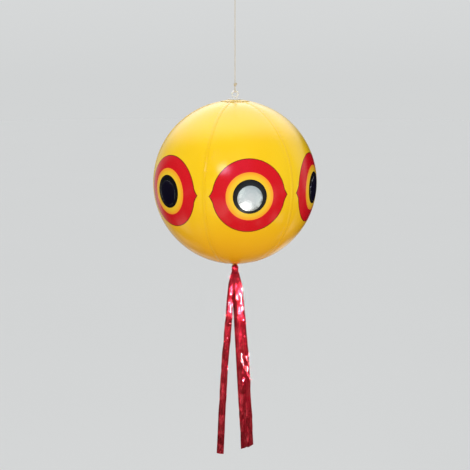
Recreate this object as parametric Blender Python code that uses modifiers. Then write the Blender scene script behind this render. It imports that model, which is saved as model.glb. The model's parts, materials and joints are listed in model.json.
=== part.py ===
"""Hanging inflatable bird scarer: a vinyl ball with six eyes, a cord above it and three foil tails below.

Metres, +Z up. The origin is the hang point, at the inner top of the cord's loop. The ball's front eye faces -Y.
"""

import math

import bmesh
import bpy
from mathutils import Matrix, Vector

MM = 0.001

# Driving dimensions.
BALL_RADIUS = 200 * MM  # outside of the seams, blown up
FILM = 0.3 * MM  # vinyl film
GAP = 0.3 * MM  # between pieces that touch
GORES = 6
GORE_NAMES = ("front", "front_right", "back_right", "back", "back_left", "front_left")
SEAM_LAP = 5 * MM  # width of the welded lap between two gores
LAP_RAMP = (2.6 * MM, 0.9 * MM)  # where a gore begins and ends its step over its neighbour
TIP_LATITUDE = math.radians(83)  # the gores' tips are trimmed here
CAP_RADIUS = 35 * MM  # round patch over the tips
CAP_FILM = 0.5 * MM
PUPIL_RADIUS = 28 * MM  # mirror foil disc in each eye
PUPIL_FOIL = 0.2 * MM
PUPIL_DROP = math.radians(1.0)  # the discs sit a little low in the eyes

TAB_BASE_RADIUS = 18 * MM
TAB_BASE_THICK = 1.0 * MM
RING_FLATTEN = 0.8
# major radius, minor radius, rise of the ring's centre above the ball's surface
HANG_RING = (7.1 * MM, 2.5 * MM, 13.5 * MM)
TAIL_RING = (4.6 * MM, 1.9 * MM, 8.0 * MM)

CORD = 2.0 * MM
LOOP_DROP = 55 * MM  # hang point to the knot
LOOP_RADIUS = 14 * MM
TOP_KNOT = (3.5 * MM, 10 * MM)  # radius, height
CORD_LENGTH = 205 * MM
RING_KNOT = (3.0 * MM, 9 * MM)
RING_KNOT_RISE = 10 * MM  # above the ring's upper rim
RING_LOOP_RADIUS = 3.95 * MM

# The foil through the lower ring, from the hole out to its foot: distance from
# the rim's middle to the front or back and up, half width, half thickness.
GATHER = (
    (0.0, 3.6, 1.7, 0.8),
    (1.3, 3.5, 1.7, 0.8),
    (2.5, 2.8, 2.6, 0.6),
    (3.1, 1.3, 4.4, 0.45),
    (3.1, -0.5, 5.9, 0.4),
    (2.7, -2.2, 6.8, 0.4),
    (1.9, -3.8, 7.1, 0.4),
)
PLEAT = 0.35 * MM
TAIL_KNOT = (8.0 * MM, 5.0 * MM)  # half length across, radius
TAIL_KNOT_DROP = 4.1 * MM  # rim's middle to the knot
STREAMER_WIDTH = 20 * MM
STREAMER_NECK = 12 * MM
STREAMER_FLARE = 24 * MM
STREAMER_THICK = 0.3 * MM
STREAMER_LAYER = 1.6 * MM
# name, layer, place across, lean towards -X in degrees, length
STREAMERS = (
    ("streamer_middle", -1, 0.5 * MM, -2.9, 502 * MM),
    ("streamer_left", 0, -3.0 * MM, 4.0, 516 * MM),
    ("streamer_right", 1, 3.0 * MM, -4.4, 504 * MM),
)

VALVE_LATITUDE = math.radians(48)
VALVE_HOLE = 5.2 * MM

# Heights that follow from them.
TOP_KNOT_Z = -LOOP_DROP
CORD_TOP = TOP_KNOT_Z - TOP_KNOT[1] - GAP
CORD_BOTTOM = CORD_TOP - CORD_LENGTH
RING_KNOT_TOP = CORD_BOTTOM - GAP
HANG_RIM_Z = RING_KNOT_TOP - RING_KNOT[1] - RING_KNOT_RISE
BALL_Z = HANG_RIM_Z - HANG_RING[0] - HANG_RING[2] - BALL_RADIUS
TAIL_RIM_Z = BALL_Z - BALL_RADIUS - TAIL_RING[2] - TAIL_RING[0]
TAIL_KNOT_Z = TAIL_RIM_Z - TAIL_KNOT_DROP - TAIL_KNOT[1]
STREAMER_TOP = TAIL_KNOT_Z - TAIL_KNOT[1] - GAP

CENTRE = Vector((0, 0, BALL_Z))
LAP_STEP = FILM + GAP
GORE_RADIUS = BALL_RADIUS - FILM / 2 - LAP_STEP  # middle of the film, away from the laps
VALVE_OUT = Vector((0, math.cos(VALVE_LATITUDE), math.sin(VALVE_LATITUDE)))


def clear_scene():
    for obj in list(bpy.data.objects):
        bpy.data.objects.remove(obj, do_unlink=True)


def new_collection(name, hidden=False):
    collection = bpy.data.collections.new(name)
    bpy.context.scene.collection.children.link(collection)
    collection.hide_render = hidden
    return collection


def material(name, colour, roughness, metallic=0.0):
    made = bpy.data.materials.new(name)
    made.use_nodes = True
    shader = made.node_tree.nodes["Principled BSDF"]
    shader.inputs["Base Color"].default_value = (*colour, 1.0)
    shader.inputs["Roughness"].default_value = roughness
    shader.inputs["Metallic"].default_value = metallic
    made.diffuse_color = (*colour, 1.0)
    return made


def place(obj, collection, mat=None, matrix=None, parent=None):
    """Puts the object in its collection, at a world matrix, under an empty on its joint's axis."""
    for old in list(obj.users_collection):
        old.objects.unlink(obj)
    collection.objects.link(obj)
    if matrix is not None:
        obj.matrix_world = matrix
    if mat is not None:
        obj.data.materials.clear()
        obj.data.materials.append(mat)
    if parent is not None:
        bpy.context.view_layer.update()
        world = obj.matrix_world.copy()
        obj.parent = parent
        obj.matrix_parent_inverse = parent.matrix_world.inverted()
        obj.matrix_world = world
    return obj


def pivot(name, collection, at, direction=(0, 0, 1), parent=None):
    """An empty whose local Z is the joint's axis."""
    empty = bpy.data.objects.new(name, None)
    empty.empty_display_type = "SINGLE_ARROW"
    empty.empty_display_size = 0.03
    turn = Vector((0, 0, 1)).rotation_difference(Vector(direction)).to_matrix().to_4x4()
    place(empty, collection, matrix=Matrix.Translation(at) @ turn, parent=parent)
    bpy.context.view_layer.update()
    return empty


def object_of(name, bm):
    mesh = bpy.data.meshes.new(name)
    bm.to_mesh(mesh)
    bm.free()
    mesh.shade_smooth()
    return bpy.data.objects.new(name, mesh)


def turned(name, profile, steps=24, closed=False):
    """A profile in the X-Z plane, down its outer side, turned about local Z. A closed one leaves a bore."""
    mesh = bpy.data.meshes.new(name)
    count = len(profile)
    edges = [(i, i + 1) for i in range(count - 1)] + ([(count - 1, 0)] if closed else [])
    mesh.from_pydata([(r, 0, z) for r, z in profile], edges, [])
    obj = bpy.data.objects.new(name, mesh)
    screw = obj.modifiers.new("Turn", "SCREW")
    screw.axis = "Z"
    screw.angle = 2 * math.pi
    screw.steps = screw.render_steps = steps
    screw.use_merge_vertices = True
    screw.merge_threshold = 1e-5
    screw.use_smooth_shade = True
    return obj


def smooth_path(points, spacing):
    """Points evenly spaced along a smooth curve through the given ones."""
    points = [Vector(p) for p in points]
    padded = [2 * points[0] - points[1], *points, 2 * points[-1] - points[-2]]
    fine = []
    for a, b, c, d in zip(padded, padded[1:], padded[2:], padded[3:]):
        for k in range(24):
            t = k / 24
            fine.append(
                0.5
                * (
                    2 * b
                    + (c - a) * t
                    + (2 * a - 5 * b + 4 * c - d) * t * t
                    + (3 * b - a - 3 * c + d) * t**3
                )
            )
    fine.append(points[-1])
    lengths = [0.0]
    for a, b in zip(fine, fine[1:]):
        lengths.append(lengths[-1] + (b - a).length)
    count = max(2, round(lengths[-1] / spacing) + 1)
    found = []
    for i in range(count):
        want = lengths[-1] * i / (count - 1)
        k = max(j for j in range(len(fine)) if lengths[j] <= want + 1e-12)
        k = min(k, len(fine) - 2)
        span = lengths[k + 1] - lengths[k]
        found.append(fine[k].lerp(fine[k + 1], (want - lengths[k]) / span if span else 0))
    return found


def tube(name, points, diameter):
    curve = bpy.data.curves.new(name, "CURVE")
    curve.dimensions = "3D"
    curve.bevel_depth = diameter / 2
    curve.bevel_resolution = 2
    curve.use_fill_caps = True
    spline = curve.splines.new("POLY")
    spline.points.add(len(points) - 1)
    for point, co in zip(spline.points, points):
        point.co = (*co, 1)
    spline.use_smooth = True
    return bpy.data.objects.new(name, curve)


def flat(name, outline, thickness):
    """A flat outline in local X-Y, with half its thickness on each side."""
    curve = bpy.data.curves.new(name, "CURVE")
    curve.dimensions = "2D"
    curve.fill_mode = "BOTH"
    curve.extrude = thickness / 2
    spline = curve.splines.new("POLY")
    spline.points.add(len(outline) - 1)
    for point, (x, y) in zip(spline.points, outline):
        point.co = (x, y, 0, 1)
    spline.use_cyclic_u = True
    return bpy.data.objects.new(name, curve)


def band(centreline, thickness):
    """The outline of a band of even thickness round an open centreline in two dimensions."""
    sides = ([], [])
    for i, here in enumerate(centreline):
        before = centreline[max(i - 1, 0)]
        after = centreline[min(i + 1, len(centreline) - 1)]
        along = (Vector(after) - Vector(before)).normalized()
        out = Vector((-along.y, along.x)) * thickness / 2
        sides[0].append(tuple(Vector(here) + out))
        sides[1].append(tuple(Vector(here) - out))
    return sides[0] + sides[1][::-1]


def gathered(name, rows, columns=6, pleat=0.0):
    """Foil laid along a path in the Y-Z plane, each row with its own half width and half thickness."""
    bm = bmesh.new()
    rings = []
    for i, (y, z, wide, thick) in enumerate(rows):
        before, after = rows[max(i - 1, 0)], rows[min(i + 1, len(rows) - 1)]
        along = Vector((after[0] - before[0], after[1] - before[1])).normalized()
        out = Vector((-along.y, along.x))
        fold = pleat if wide > 3 * MM else 0.0
        ring = []
        for side in (1, -1):
            for j in range(columns + 1)[::side]:
                shift = out * (side * thick + (fold if j % 2 else -fold))
                x = wide * (2 * j / columns - 1)
                ring.append(bm.verts.new((x, y + shift.x, z + shift.y)))
        rings.append(ring)
    count = len(rings[0])
    for one, two in zip(rings, rings[1:]):
        for k in range(count):
            bm.faces.new((one[k], one[(k + 1) % count], two[(k + 1) % count], two[k]))
    for ring in (rings[0], rings[-1]):
        for k in range(columns):
            bm.faces.new((ring[k], ring[k + 1], ring[count - 2 - k], ring[count - 1 - k]))
    bmesh.ops.recalc_face_normals(bm, faces=bm.faces)
    return object_of(name, bm)


def gore(name, index):
    """One sixth of the ball. Its leading edge steps outwards over the next gore's plain edge, as a lap weld does."""
    columns, rows = 8, 20
    half = math.pi / GORES
    step = 2 * half / columns
    bm = bmesh.new()
    bmesh.ops.create_uvsphere(
        bm, u_segments=GORES * columns, v_segments=rows, radius=1.0
    )
    last_row = math.pi / 2 - math.pi / rows
    spare = []
    for vert in bm.verts:
        latitude = math.asin(max(-1, min(1, vert.co.z)))
        column = round((math.atan2(vert.co.y, vert.co.x) + half) / step)
        if abs(latitude) > last_row + 0.01 or not 0 <= column <= columns + 2:
            spare.append(vert)
            continue
        latitude *= TIP_LATITUDE / last_row
        ring = GORE_RADIUS * math.cos(latitude)
        radius = GORE_RADIUS
        if column <= columns:
            width = 2 * half - LAP_RAMP[0] / ring
            longitude = -half + width * column / columns
        elif column == columns + 1:
            longitude = half - LAP_RAMP[1] / ring
            radius += LAP_STEP
        else:
            longitude = half + SEAM_LAP / ring
            radius += LAP_STEP
        longitude += 2 * half * index - math.pi / 2
        vert.co = radius * Vector(
            (
                math.cos(latitude) * math.cos(longitude),
                math.cos(latitude) * math.sin(longitude),
                math.sin(latitude),
            )
        )
    bmesh.ops.delete(bm, geom=spare, context="VERTS")
    obj = object_of(name, bm)
    film = obj.modifiers.new("Film", "SOLIDIFY")
    film.thickness = FILM
    film.offset = 0
    return obj


def dome_profile(radius, inner, thickness, arcs=3):
    """Section of a thin round patch that follows the ball, from its middle out and back."""
    outer = inner + thickness
    rings = [radius * k / arcs for k in range(arcs + 1)]
    return [(r, math.sqrt(outer**2 - r**2)) for r in rings] + [
        (r, math.sqrt(inner**2 - r**2)) for r in reversed(rings)
    ]


def tab(name, size, collection, cutters, mat, matrix, parent):
    """A moulded ring on a short neck and a round base that follows the ball."""
    major, minor, rise = size
    inner = BALL_RADIUS + CAP_FILM + 2 * GAP
    base = turned(name, dome_profile(TAB_BASE_RADIUS, inner, TAB_BASE_THICK))
    ring_z = BALL_RADIUS + rise

    bpy.ops.mesh.primitive_torus_add(
        major_segments=28,
        minor_segments=12,
        major_radius=major,
        minor_radius=minor,
    )
    ring = bpy.context.object
    ring.name = name + "_ring_join"
    ring.data.transform(
        Matrix.Translation((0, 0, ring_z))
        @ Matrix.Rotation(math.pi / 2, 4, "X")
        @ Matrix.Diagonal((1, 1, RING_FLATTEN, 1))
    )

    neck_low = inner + TAB_BASE_THICK / 2
    neck_high = ring_z - major - 0.2 * minor
    bm = bmesh.new()
    bmesh.ops.create_cube(bm, size=1.0)
    for vert in bm.verts:
        top = vert.co.z > 0
        vert.co.x *= (7.6 if top else 12) * MM
        vert.co.y *= (3.0 if top else 5.4) * MM
        vert.co.z = neck_high if top else neck_low
    bmesh.ops.bevel(
        bm,
        geom=[e for e in bm.edges if abs(e.verts[0].co.z - e.verts[1].co.z) > MM],
        offset=0.8 * MM,
        segments=2,
        affect="EDGES",
    )
    neck = object_of(name + "_neck_join", bm)

    for other in (ring, neck):
        place(other, cutters, matrix=matrix)
        other.hide_render = True
        other.display_type = "WIRE"
    place(base, collection, mat, matrix)
    for other in (neck, ring):
        join = base.modifiers.new("Join " + other.name, "BOOLEAN")
        join.operation = "UNION"
        join.solver = "EXACT"
        join.object = other
    return place(base, collection, mat, matrix, parent)


def streamer_outline(length):
    """Rounded neck at the knot, flaring to the full ribbon, with a square-cut end."""
    neck, wide = STREAMER_NECK / 2, STREAMER_WIDTH / 2
    side = [
        (neck * math.cos(math.radians(a)), neck * math.sin(math.radians(a)))
        for a in (60, 30, 0)
    ]
    for k in range(1, 6):
        t = k / 5
        ease = t * t * (3 - 2 * t)
        side.append((neck + (wide - neck) * ease, -STREAMER_FLARE * t))
    run = length - neck - STREAMER_FLARE
    for k in range(1, 5):
        side.append((wide, -STREAMER_FLARE - run * k / 4))
    return [(0, neck), *side, *[(-x, y) for x, y in reversed(side)]]


def cord_pieces(parts, cutters, mats):
    root = pivot("hanger", parts, (0, 0, 0))
    knot_radius, knot_height = TOP_KNOT
    upper = TOP_KNOT_Z - knot_radius
    lower = TOP_KNOT_Z - knot_height + knot_radius
    swing_front = pivot("pivot_swing_front", parts, (0, 0, upper), (1, 0, 0), root)
    swing_side = pivot("pivot_swing_side", parts, (0, 0, lower), (0, 1, 0), swing_front)
    spin = pivot("pivot_spin", parts, (0, 0, RING_KNOT_TOP), (0, 0, 1), swing_side)

    foot = TOP_KNOT_Z + GAP
    centre = CORD / 2 - LOOP_RADIUS
    half = [(-1.3 * MM, foot), (-2.0 * MM, foot + 5 * MM), (-6.6 * MM, foot + 18 * MM)]
    half.append((-11.8 * MM, foot + 30 * MM))
    for a in (180, 150, 120):
        a = math.radians(a)
        half.append((LOOP_RADIUS * math.cos(a), centre + LOOP_RADIUS * math.sin(a)))
    route = [*half, (0, centre + LOOP_RADIUS), *[(-x, z) for x, z in reversed(half)]]
    loop = tube(
        "hang_loop", smooth_path([(x, 0, z) for x, z in route], 3.2 * MM), CORD
    )
    place(loop, parts, mats["cord"], parent=root)

    barrel = [
        (
            knot_radius * math.cos(math.radians(a)),
            (upper if a >= 0 else lower) + knot_radius * math.sin(math.radians(a)),
        )
        for a in (90, 67.5, 45, 22.5, 0, -0.001, -22.5, -45, -67.5, -90)
    ]
    barrel[0] = (0, barrel[0][1])
    barrel[-1] = (0, barrel[-1][1])
    place(turned("top_knot", barrel, 16), parts, mats["cord"], parent=swing_front)

    straight = [(0, 0, CORD_TOP), (0, 0, (CORD_TOP + CORD_BOTTOM) / 2), (0, 0, CORD_BOTTOM)]
    place(
        tube("cord", smooth_path(straight, 5 * MM), CORD),
        parts,
        mats["cord"],
        parent=swing_side,
    )

    radius, height = RING_KNOT
    top, bottom = RING_KNOT_TOP, RING_KNOT_TOP - height
    barrel = [(0, top), (1.7 * MM, top), (2.7 * MM, top - 1.2 * MM), (radius, top - 3 * MM)]
    barrel += [(radius, bottom + 2 * MM), (2.5 * MM, bottom), (0, bottom)]
    place(turned("ring_knot", barrel, 16), parts, mats["cord"], parent=spin)

    rim = HANG_RIM_Z
    half = [(-1.3 * MM, bottom - GAP), (-1.9 * MM, bottom - 2.2 * MM), (-3.5 * MM, rim + 3.6 * MM)]
    for a in (180, 210, 240):
        a = math.radians(a)
        half.append((RING_LOOP_RADIUS * math.cos(a), rim + RING_LOOP_RADIUS * math.sin(a)))
    route = [*half, (0, rim - RING_LOOP_RADIUS), *[(-y, z) for y, z in reversed(half)]]
    place(
        tube("ring_loop", smooth_path([(0, y, z) for y, z in route], 1.4 * MM), CORD),
        parts,
        mats["cord"],
        parent=spin,
    )
    return spin


def ball_pieces(parts, cutters, mats, spin):
    ball = pivot("pivot_ball", parts, (0, 0, HANG_RIM_Z), (1, 0, 0), spin)
    at_centre = Matrix.Translation(CENTRE)
    for index, where in enumerate(GORE_NAMES):
        obj = gore("gore_" + where, index)
        place(obj, parts, mats["vinyl"], at_centre, ball)
        turn = 2 * math.pi * index / GORES - math.pi / 2
        facing = (
            at_centre
            @ Matrix.Rotation(turn, 4, "Z")
            @ Matrix.Rotation(math.pi / 2 + PUPIL_DROP, 4, "Y")
        )
        inner = GORE_RADIUS + FILM / 2 + GAP
        disc = turned("pupil_" + where, dome_profile(PUPIL_RADIUS, inner, PUPIL_FOIL), 20)
        place(disc, parts, mats["mirror_foil"], facing, ball)

    for name, flip in (("top_cap", 0.0), ("bottom_cap", math.pi)):
        cap = turned(name, dome_profile(CAP_RADIUS, BALL_RADIUS + GAP, CAP_FILM))
        place(cap, parts, mats["vinyl"], at_centre @ Matrix.Rotation(flip, 4, "X"), ball)
    for name, size, flip in (("hang_tab", HANG_RING, 0.0), ("tail_tab", TAIL_RING, math.pi)):
        tab(
            name,
            size,
            parts,
            cutters,
            mats["tab"],
            at_centre @ Matrix.Rotation(flip, 4, "X"),
            ball,
        )
    return ball


def valve_pieces(parts, cutters, mats, ball):
    """A push-in valve on the back gore, shown pushed in and plugged. Local Z is its way out and local Y the ball's X."""
    tangent = Vector((0, -math.sin(VALVE_LATITUDE), math.cos(VALVE_LATITUDE)))
    turn = Matrix((tangent, (1, 0, 0), VALVE_OUT)).transposed().to_4x4()
    seat = Matrix.Translation(CENTRE + BALL_RADIUS * VALVE_OUT) @ turn
    slide_stem = pivot("slide_stem", parts, seat.translation, VALVE_OUT, ball)
    slide_plug = pivot("slide_plug", parts, seat.translation, VALVE_OUT, slide_stem)
    hinge = seat @ Vector((4.1 * MM, 0, -16.65 * MM))
    flap_pivot = pivot("pivot_flap", parts, hinge, (-1, 0, 0), slide_stem)

    bm = bmesh.new()
    bmesh.ops.create_cone(
        bm,
        cap_ends=True,
        segments=24,
        radius1=VALVE_HOLE,
        radius2=VALVE_HOLE,
        depth=20 * MM,
    )
    hole = object_of("valve_hole_cutter", bm)
    hole.hide_render = True
    hole.display_type = "WIRE"
    place(hole, cutters, matrix=seat)
    cut = bpy.data.objects["gore_back"].modifiers.new("Valve hole", "BOOLEAN")
    cut.operation = "DIFFERENCE"
    cut.solver = "EXACT"
    cut.object = hole

    def on_ball(radius, sphere):
        return (radius * MM, math.sqrt(sphere**2 - (radius * MM) ** 2) - BALL_RADIUS)

    inner = GORE_RADIUS + FILM / 2 + GAP
    outer = inner + 0.8 * MM
    profile = [(5.0 * MM, 2.4 * MM), (6.8 * MM, 2.4 * MM), (7.2 * MM, 2.0 * MM)]
    profile += [on_ball(r, outer) for r in (7.4, 11, 14.6)] + [on_ball(15, outer - 0.3 * MM)]
    profile += [on_ball(r, inner) for r in (15, 11, 7.4, 5.0)]
    place(turned("valve_base", profile, closed=True), parts, mats["valve"], seat, ball)

    profile = [(3.0, 4.0), (6.0, 4.0), (6.4, 3.6), (6.4, 2.8), (4.5, 2.8), (4.5, -15.2)]
    profile += [(6.0, -15.2), (6.0, -16.0), (3.0, -16.0)]
    profile = [(r * MM, z * MM) for r, z in profile]
    place(
        turned("valve_stem", profile, closed=True), parts, mats["valve"], seat, slide_stem
    )

    profile = [(0, 6.5), (2.6, 6.35), (4.3, 5.9), (5.0, 5.2), (5.0, 4.4), (2.7, 4.4)]
    profile += [(2.7, -3.0), (2.2, -3.6), (0, -3.6)]
    profile = [(r * MM, z * MM) for r, z in profile]
    place(turned("valve_plug", profile), parts, mats["valve"], seat, slide_plug)

    route = [(-5.4, 5.0), (-7.0, 5.4), (-8.3, 5.1), (-8.8, 4.1), (-8.1, 3.3), (-6.8, 3.2)]
    route = [(p.x, p.y) for p in smooth_path([(x * MM, z * MM, 0) for x, z in route], 0.9 * MM)]
    strap = flat("valve_tether", band(route, 0.8 * MM), 3 * MM)
    place(
        strap,
        parts,
        mats["valve"],
        seat @ Matrix.Rotation(math.pi / 2, 4, "X"),
        slide_plug,
    )

    flap = turned("valve_flap", [(0, 0.25 * MM), (3.7 * MM, 0.25 * MM), (3.7 * MM, -0.25 * MM), (0, -0.25 * MM)], 20)
    at = seat @ Matrix.Translation((0.4 * MM, 0, -16.65 * MM))
    place(flap, parts, mats["valve"], at, flap_pivot)


def tail_pieces(parts, cutters, mats, ball):
    rows = [tuple(v * MM for v in row) for row in GATHER]
    rows = [(-y, *rest) for y, *rest in reversed(rows)] + rows[1:]
    foil = gathered("tail_loop", rows, pleat=PLEAT)
    place(foil, parts, mats["ribbon"], Matrix.Translation((0, 0, TAIL_RIM_Z)), ball)

    tail = pivot("pivot_tail", parts, (0, 0, TAIL_KNOT_Z), (1, 0, 0), ball)
    long, radius = TAIL_KNOT
    profile = []
    for a in range(90, -91, -20):
        a = math.radians(a)
        around, up = max(0.0, math.cos(a)) ** 0.7, abs(math.sin(a)) ** 0.9
        profile.append((radius * around, math.copysign(long * up, a)))
    profile[0], profile[-1] = (0, long), (0, -long)
    knot_at = Matrix.Translation((0, 0, TAIL_KNOT_Z)) @ Matrix.Rotation(math.pi / 2, 4, "Y")
    place(turned("tail_knot", profile, 20), parts, mats["ribbon"], knot_at, tail)

    for name, layer, across, lean, length in STREAMERS:
        at = Vector((across, layer * STREAMER_LAYER, STREAMER_TOP - STREAMER_NECK / 2))
        if name == "streamer_middle":
            top = at + Vector((0, 0, STREAMER_NECK / 2 - 0.2 * MM))
            joint = pivot("pivot_" + name, parts, top, (1, 0, 0), tail)
        else:
            joint = pivot("pivot_" + name, parts, at, (0, 1, 0), tail)
        ribbon = flat(name, streamer_outline(length), STREAMER_THICK)
        matrix = (
            Matrix.Translation(at)
            @ Matrix.Rotation(math.radians(lean), 4, "Y")
            @ Matrix.Rotation(math.pi / 2, 4, "X")
        )
        place(ribbon, parts, mats["ribbon"], matrix, joint)


def main():
    clear_scene()
    parts = new_collection("Bird scare balloon")
    cutters = new_collection("Cutters", hidden=True)
    mats = {
        "vinyl": material("yellow vinyl", (0.93, 0.62, 0.02), 0.18),
        "mirror_foil": material("mirror foil", (0.86, 0.88, 0.9), 0.08, 1.0),
        "tab": material("white moulded vinyl", (0.88, 0.86, 0.8), 0.35),
        "valve": material("clear valve vinyl", (0.9, 0.88, 0.8), 0.3),
        "cord": material("cream cord", (0.82, 0.76, 0.62), 0.8),
        "ribbon": material("red metal foil", (0.75, 0.01, 0.03), 0.2, 1.0),
    }
    spin = cord_pieces(parts, cutters, mats)
    ball = ball_pieces(parts, cutters, mats, spin)
    valve_pieces(parts, cutters, mats, ball)
    tail_pieces(parts, cutters, mats, ball)
    bpy.context.view_layer.update()


main()
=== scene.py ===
"""Looks of the hanging scare ball: a glossy printed vinyl ball, mirror pupils, a twisted cord and red foil tails."""

import json
import math

import bmesh
import bpy
import numpy as np
from mathutils import Matrix, Vector, noise

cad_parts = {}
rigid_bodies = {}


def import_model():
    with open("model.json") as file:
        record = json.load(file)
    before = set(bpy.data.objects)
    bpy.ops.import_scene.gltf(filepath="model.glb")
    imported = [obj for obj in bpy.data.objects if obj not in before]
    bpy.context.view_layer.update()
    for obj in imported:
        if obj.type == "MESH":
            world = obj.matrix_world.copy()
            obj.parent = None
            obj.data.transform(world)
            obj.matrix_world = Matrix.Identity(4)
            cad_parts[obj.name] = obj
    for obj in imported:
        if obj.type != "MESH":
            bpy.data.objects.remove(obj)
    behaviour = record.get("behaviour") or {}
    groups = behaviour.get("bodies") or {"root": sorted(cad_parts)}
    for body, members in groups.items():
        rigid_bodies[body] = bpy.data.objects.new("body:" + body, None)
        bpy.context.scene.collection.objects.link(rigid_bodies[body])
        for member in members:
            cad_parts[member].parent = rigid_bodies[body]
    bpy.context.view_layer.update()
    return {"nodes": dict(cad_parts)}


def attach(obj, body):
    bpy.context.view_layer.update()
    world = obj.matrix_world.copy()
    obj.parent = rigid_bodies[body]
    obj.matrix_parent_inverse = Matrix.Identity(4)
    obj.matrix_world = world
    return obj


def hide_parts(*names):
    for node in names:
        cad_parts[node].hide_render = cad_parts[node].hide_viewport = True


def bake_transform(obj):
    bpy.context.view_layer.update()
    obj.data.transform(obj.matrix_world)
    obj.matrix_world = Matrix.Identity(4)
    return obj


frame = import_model()
NODES = frame["nodes"]

MM = 0.001

# Places and sizes shared with the CAD model, in metres.
BALL_Z = -0.5102
CENTRE = Vector((0, 0, BALL_Z))
SKIN = 0.1994  # outside of the skin away from the laps
LAP_LIFT = 0.0006
LAP = 0.005
TIP = math.radians(83)
GORES = ("front", "front_right", "back_right", "back", "back_left", "front_left")
HANG_RING = (7.1 * MM, 2.5 * MM, 13.5 * MM)
TAIL_RING = (4.6 * MM, 1.9 * MM, 8.0 * MM)
CORD_TOP, CORD_BOTTOM = -0.0620, -0.2732  # both inside a knot
HANG_RIM_Z = -0.2896
TAIL_RIM_Z = -0.7228
TAIL_KNOT_Z = -0.7319
STREAMER_TOP = -0.7372
VALVE_LATITUDE = math.radians(48)
VALVE_OUT = Vector((0, math.cos(VALVE_LATITUDE), math.sin(VALVE_LATITUDE)))
VIEW_TURN, VIEW_RISE = -9.5, 9.0  # the camera's place about the ball, in degrees


# ---------------------------------------------------------------- camera


def make_camera():
    """The photograph's direction: 9.5 degrees to the left of the front eye and 9 above the ball's middle."""
    az, el, away = math.radians(VIEW_TURN), math.radians(VIEW_RISE), 1.6
    place = CENTRE + away * Vector(
        (math.sin(az) * math.cos(el), -math.cos(az) * math.cos(el), math.sin(el))
    )
    data = bpy.data.cameras.new("camera")
    data.sensor_width = 36
    data.lens = 18 / math.tan(math.radians(39.8) / 2)
    data.clip_end = 200
    camera = bpy.data.objects.new("camera", data)
    bpy.context.scene.collection.objects.link(camera)
    camera.location = place
    camera.rotation_euler = (math.radians(90 - 13.6), 0, az)
    bpy.context.scene.camera = camera


# ---------------------------------------------------------------- helpers


def link(obj):
    bpy.context.scene.collection.objects.link(obj)
    return obj


def mesh_object(name, verts, faces, uvs=None, smooth=True):
    """uvs is one pair for each vertex."""
    mesh = bpy.data.meshes.new(name)
    mesh.from_pydata([tuple(v) for v in verts], [], [tuple(f) for f in faces])
    mesh.update()
    if smooth:
        mesh.shade_smooth()
    if uvs is not None:
        layer = mesh.uv_layers.new(name="UVMap")
        index = np.zeros(len(mesh.loops), np.int32)
        mesh.loops.foreach_get("vertex_index", index)
        layer.data.foreach_set("uv", np.asarray(uvs, np.float32)[index].ravel())
    return link(bpy.data.objects.new(name, mesh))


def grid_faces(rows, columns, wrap=False):
    """Faces of a grid of rows x columns points, row by row."""
    faces = []
    for i in range(rows - 1):
        for j in range(columns if wrap else columns - 1):
            k = (j + 1) % columns
            faces.append((i * columns + j, i * columns + k, (i + 1) * columns + k, (i + 1) * columns + j))
    return faces


def flip_if_inward(obj, centre=None):
    """Turns the faces outwards: from a centre, or as Blender finds it for a closed shape."""
    bm = bmesh.new()
    bm.from_mesh(obj.data)
    if centre is None:
        bmesh.ops.recalc_face_normals(bm, faces=bm.faces)
    else:
        total = sum(f.normal.dot(f.calc_center_median() - centre) * f.calc_area() for f in bm.faces)
        if total < 0:
            bmesh.ops.reverse_faces(bm, faces=bm.faces)
    bm.to_mesh(obj.data)
    bm.free()
    return obj


def lathe(name, profile, steps=72, matrix=None, wobble=None):
    """A closed profile of (radius, height), down its outer side, turned about local Z. wobble(angle, radius) lifts a point."""
    rows = len(profile)
    verts = []
    for k in range(steps):
        a = 2 * math.pi * k / steps
        for r, z in profile:
            lift = wobble(a, r) if wobble else 0.0
            verts.append((r * math.cos(a), r * math.sin(a), z + lift))
    faces = []
    for k in range(steps):
        n = (k + 1) % steps
        for i in range(rows):
            j = (i + 1) % rows
            if profile[i][0] < 1e-7 and profile[j][0] < 1e-7:
                continue
            faces.append((k * rows + i, n * rows + i, n * rows + j, k * rows + j))
    obj = mesh_object(name, verts, faces)
    bm = bmesh.new()
    bm.from_mesh(obj.data)
    bmesh.ops.remove_doubles(bm, verts=bm.verts, dist=1e-6)
    bmesh.ops.dissolve_degenerate(bm, edges=bm.edges, dist=1e-7)
    bmesh.ops.recalc_face_normals(bm, faces=bm.faces)
    bm.to_mesh(obj.data)
    bm.free()
    obj.data.shade_smooth()
    if matrix is not None:
        obj.data.transform(matrix)
    return obj


def smooth_path(points, spacing):
    """Points evenly spaced along a smooth curve through the given ones."""
    points = [Vector(p) for p in points]
    padded = [2 * points[0] - points[1], *points, 2 * points[-1] - points[-2]]
    fine = []
    for a, b, c, d in zip(padded, padded[1:], padded[2:], padded[3:]):
        for k in range(24):
            t = k / 24
            fine.append(
                0.5 * (2 * b + (c - a) * t + (2 * a - 5 * b + 4 * c - d) * t * t + (3 * b - a - 3 * c + d) * t**3)
            )
    fine.append(points[-1])
    lengths = [0.0]
    for a, b in zip(fine, fine[1:]):
        lengths.append(lengths[-1] + (b - a).length)
    count = max(2, round(lengths[-1] / spacing) + 1)
    found, k = [], 0
    for i in range(count):
        want = lengths[-1] * i / (count - 1)
        while k < len(fine) - 2 and lengths[k + 1] < want:
            k += 1
        span = lengths[k + 1] - lengths[k]
        found.append(fine[k].lerp(fine[k + 1], (want - lengths[k]) / span if span else 0))
    return found


def frames_along(path):
    """A point, tangent and two normals at each point of a path, without twist."""
    out, side = [], None
    for i, p in enumerate(path):
        tangent = (path[min(i + 1, len(path) - 1)] - path[max(i - 1, 0)]).normalized()
        if side is None:
            side = tangent.orthogonal().normalized()
        side = (side - tangent * side.dot(tangent)).normalized()
        out.append((p, tangent, side, tangent.cross(side)))
    return out


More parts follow.
